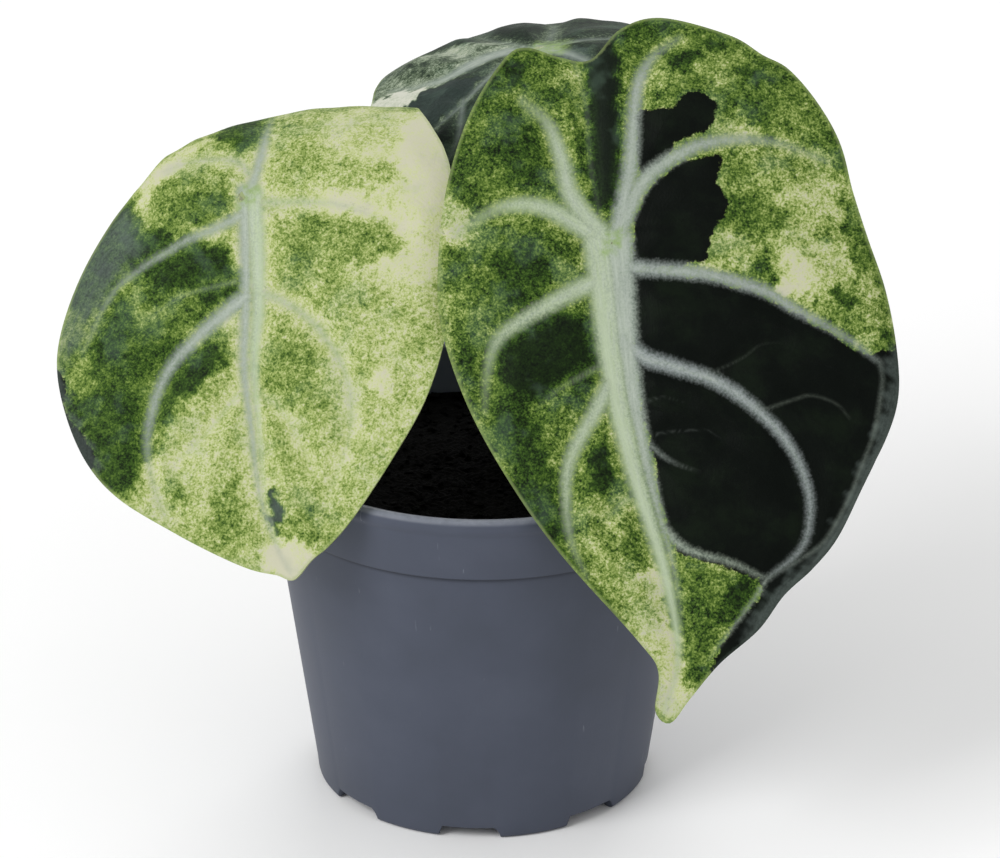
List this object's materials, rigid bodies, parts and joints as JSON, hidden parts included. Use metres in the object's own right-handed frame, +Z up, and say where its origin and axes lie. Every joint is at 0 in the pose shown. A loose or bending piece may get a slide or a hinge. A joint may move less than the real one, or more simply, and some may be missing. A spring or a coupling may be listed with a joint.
{
  "type": "potted foliage plant",
  "caption": "Potted foliage plant with drooping heart-shaped velvet leaves in near-black green, lime and cream, standing in dark soil in a tapered nursery pot.",
  "frame": {"origin": "centre of the pot's base, on the surface it stands on", "axes": "+Z up along the pot's axis, -Y towards the plant's front, +X to the right as seen from the front"},
  "size_m": [0.2196, 0.1873, 0.2116],
  "materials": {
    "pot": "satin moulded plastic with faint scuffs",
    "soil": null,
    "crown": null,
    "front_leaf_blade": null,
    "front_petiole": null,
    "left_leaf_blade": null,
    "left_petiole": null,
    "back_leaf_blade": null,
    "back_petiole": null
  },
  "bodies": {
    "root": {"pot": "pot", "soil": "soil", "crown": "crown", "front_leaf_blade": "front_leaf_blade", "front_petiole": "front_petiole", "left_leaf_blade": "left_leaf_blade", "left_petiole": "left_petiole", "back_leaf_blade": "back_leaf_blade", "back_petiole": "back_petiole"}
  },
  "joints": []
}
